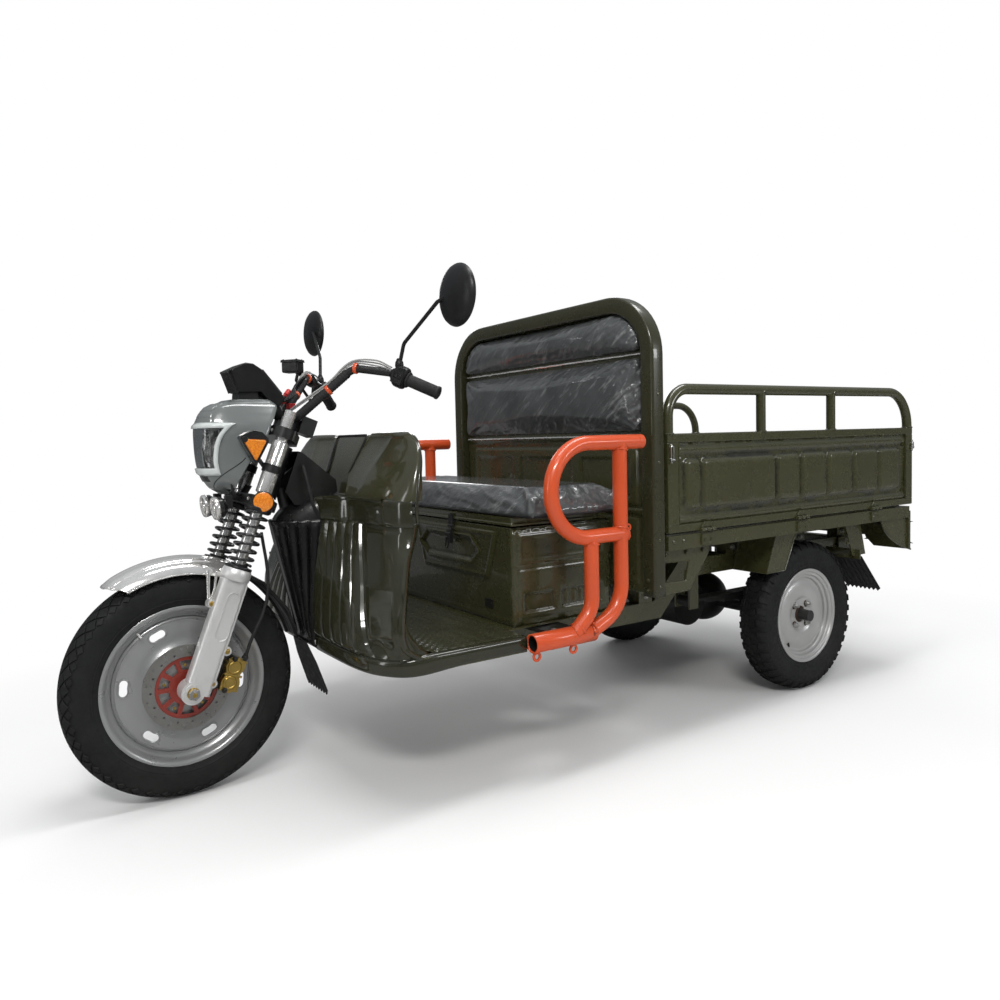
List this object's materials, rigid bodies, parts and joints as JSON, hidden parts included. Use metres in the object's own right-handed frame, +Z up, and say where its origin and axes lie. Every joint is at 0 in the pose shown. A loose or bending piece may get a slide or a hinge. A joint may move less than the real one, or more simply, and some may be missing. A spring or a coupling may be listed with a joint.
{
  "type": "electric cargo tricycle",
  "caption": "Electric cargo tricycle with a sprung front fork, bench seat with backrest, guard bars and a flat cargo bed with drop sides and tailgate.",
  "frame": {"origin": "on the ground at the middle of the vehicle's outline box", "axes": "-X forward (front wheel), +Y to the vehicle's right, +Z up"},
  "size_m": [2.984, 1.096, 1.402],
  "materials": {
    "olive_paint": "glossy dark olive green enamel",
    "orange_paint": "glossy orange enamel",
    "black_plastic": "satin black moulded plastic",
    "grey_plastic": "glossy grey moulded plastic",
    "black_paint": "black chassis enamel",
    "tyre": "black tread rubber",
    "rubber": "matt black rubber",
    "grey_paint": "satin grey paint",
    "silver_paint": "silver paint",
    "cast_alloy": "satin cast aluminium",
    "chrome": "bright chrome",
    "steel": "bright steel",
    "brass": "yellow passivated metal",
    "leather": "dark grey leatherette under clear film",
    "clear_lens": "clear lens",
    "amber_lens": "amber lens",
    "red_lens": "red lens"
  },
  "bodies": {
    "chassis": {"rear_axle": "black_paint", "drive_motor": "black_paint", "leaf_springs": "black_paint", "chassis_frame": "olive_paint", "head_frame": "black_paint", "neck_cover": "black_paint", "neck_cable": "rubber", "leg_shield": "olive_paint", "cowl_top": "olive_paint", "brake_pedal": "black_paint", "cowl_grille": "black_plastic", "cowl_liner": "black_plastic", "floor_pan": "olive_paint", "seat_box": "olive_paint", "battery_pack": "black_plastic", "backrest_frame": "olive_paint", "backrest_cushion_upper": "leather", "backrest_cushion_lower": "leather", "guard_bar_left": "orange_paint", "guard_bar_right": "orange_paint", "bed_floor": "olive_paint", "bed_supports": "olive_paint", "bed_front_board": "olive_paint", "rear_bumper": "olive_paint", "tail_lamps": "red_lens", "rear_mudguards": "olive_paint", "rear_mud_flaps": "rubber"},
    "steering": {"fork_legs": "cast_alloy", "fork_tubes": "chrome", "fork_springs": "black_paint", "fork_clamps": "black_paint", "front_axle": "steel", "brake_caliper": "brass", "front_fender": "chrome", "fender_tail": "black_plastic", "brake_hose": "rubber", "headlight_mask": "grey_plastic", "headlamp": "clear_lens", "instrument_console": "black_plastic", "turn_signals": "amber_lens", "horns": "black_plastic", "handlebar": "chrome", "hand_grips": "rubber", "switch_boxes": "black_plastic", "brake_master": "black_plastic", "control_cable": "rubber", "mirrors": "black_plastic"},
    "front_wheel": {"front_tyre": "tyre", "front_rim": "grey_paint", "brake_disc": "steel"},
    "rear_wheel_left": {"rear_tyre_left": "tyre", "rear_rim_left": "silver_paint"},
    "rear_wheel_right": {"rear_tyre_right": "tyre", "rear_rim_right": "silver_paint"},
    "left_drop_side": {"side_board_left": "olive_paint"},
    "right_drop_side": {"side_board_right": "olive_paint"},
    "rear_gate": {"tailgate": "olive_paint"},
    "seat": {"seat_lid": "olive_paint", "seat_cushion": "leather", "seat_latch": "black_paint"}
  },
  "joints": [
    {"name": "steering_turn", "type": "hinge", "parent": "chassis", "child": "steering", "pos_m": [-1.135, 0, 0.282], "axis": [0.3681, 0, 0.9298], "range_deg": [-40, 40]},
    {"name": "front_wheel_spin", "type": "hinge", "parent": "steering", "child": "front_wheel", "pos_m": [-1.19, 0, 0.302], "axis": [0, 1, 0], "continuous": true},
    {"name": "rear_left_wheel_spin", "type": "hinge", "parent": "chassis", "child": "rear_wheel_left", "pos_m": [0.892, -0.424, 0.267], "axis": [0, 1, 0], "continuous": true},
    {"name": "rear_right_wheel_spin", "type": "hinge", "parent": "chassis", "child": "rear_wheel_right", "pos_m": [0.892, 0.424, 0.267], "axis": [0, 1, 0], "continuous": true},
    {"name": "left_side_drop", "type": "hinge", "parent": "chassis", "child": "left_drop_side", "pos_m": [0.8, -0.536, 0.636], "axis": [1, 0, 0], "range_deg": [0, 175]},
    {"name": "right_side_drop", "type": "hinge", "parent": "chassis", "child": "right_drop_side", "pos_m": [0.8, 0.536, 0.636], "axis": [-1, 0, 0], "range_deg": [0, 175]},
    {"name": "tailgate_drop", "type": "hinge", "parent": "chassis", "child": "rear_gate", "pos_m": [1.488, 0, 0.636], "axis": [0, 1, 0], "range_deg": [0, 175]},
    {"name": "seat_lift", "type": "hinge", "parent": "chassis", "child": "seat", "pos_m": [0.003, 0, 0.661], "axis": [0, 1, 0], "range_deg": [0, 28]}
  ]
}
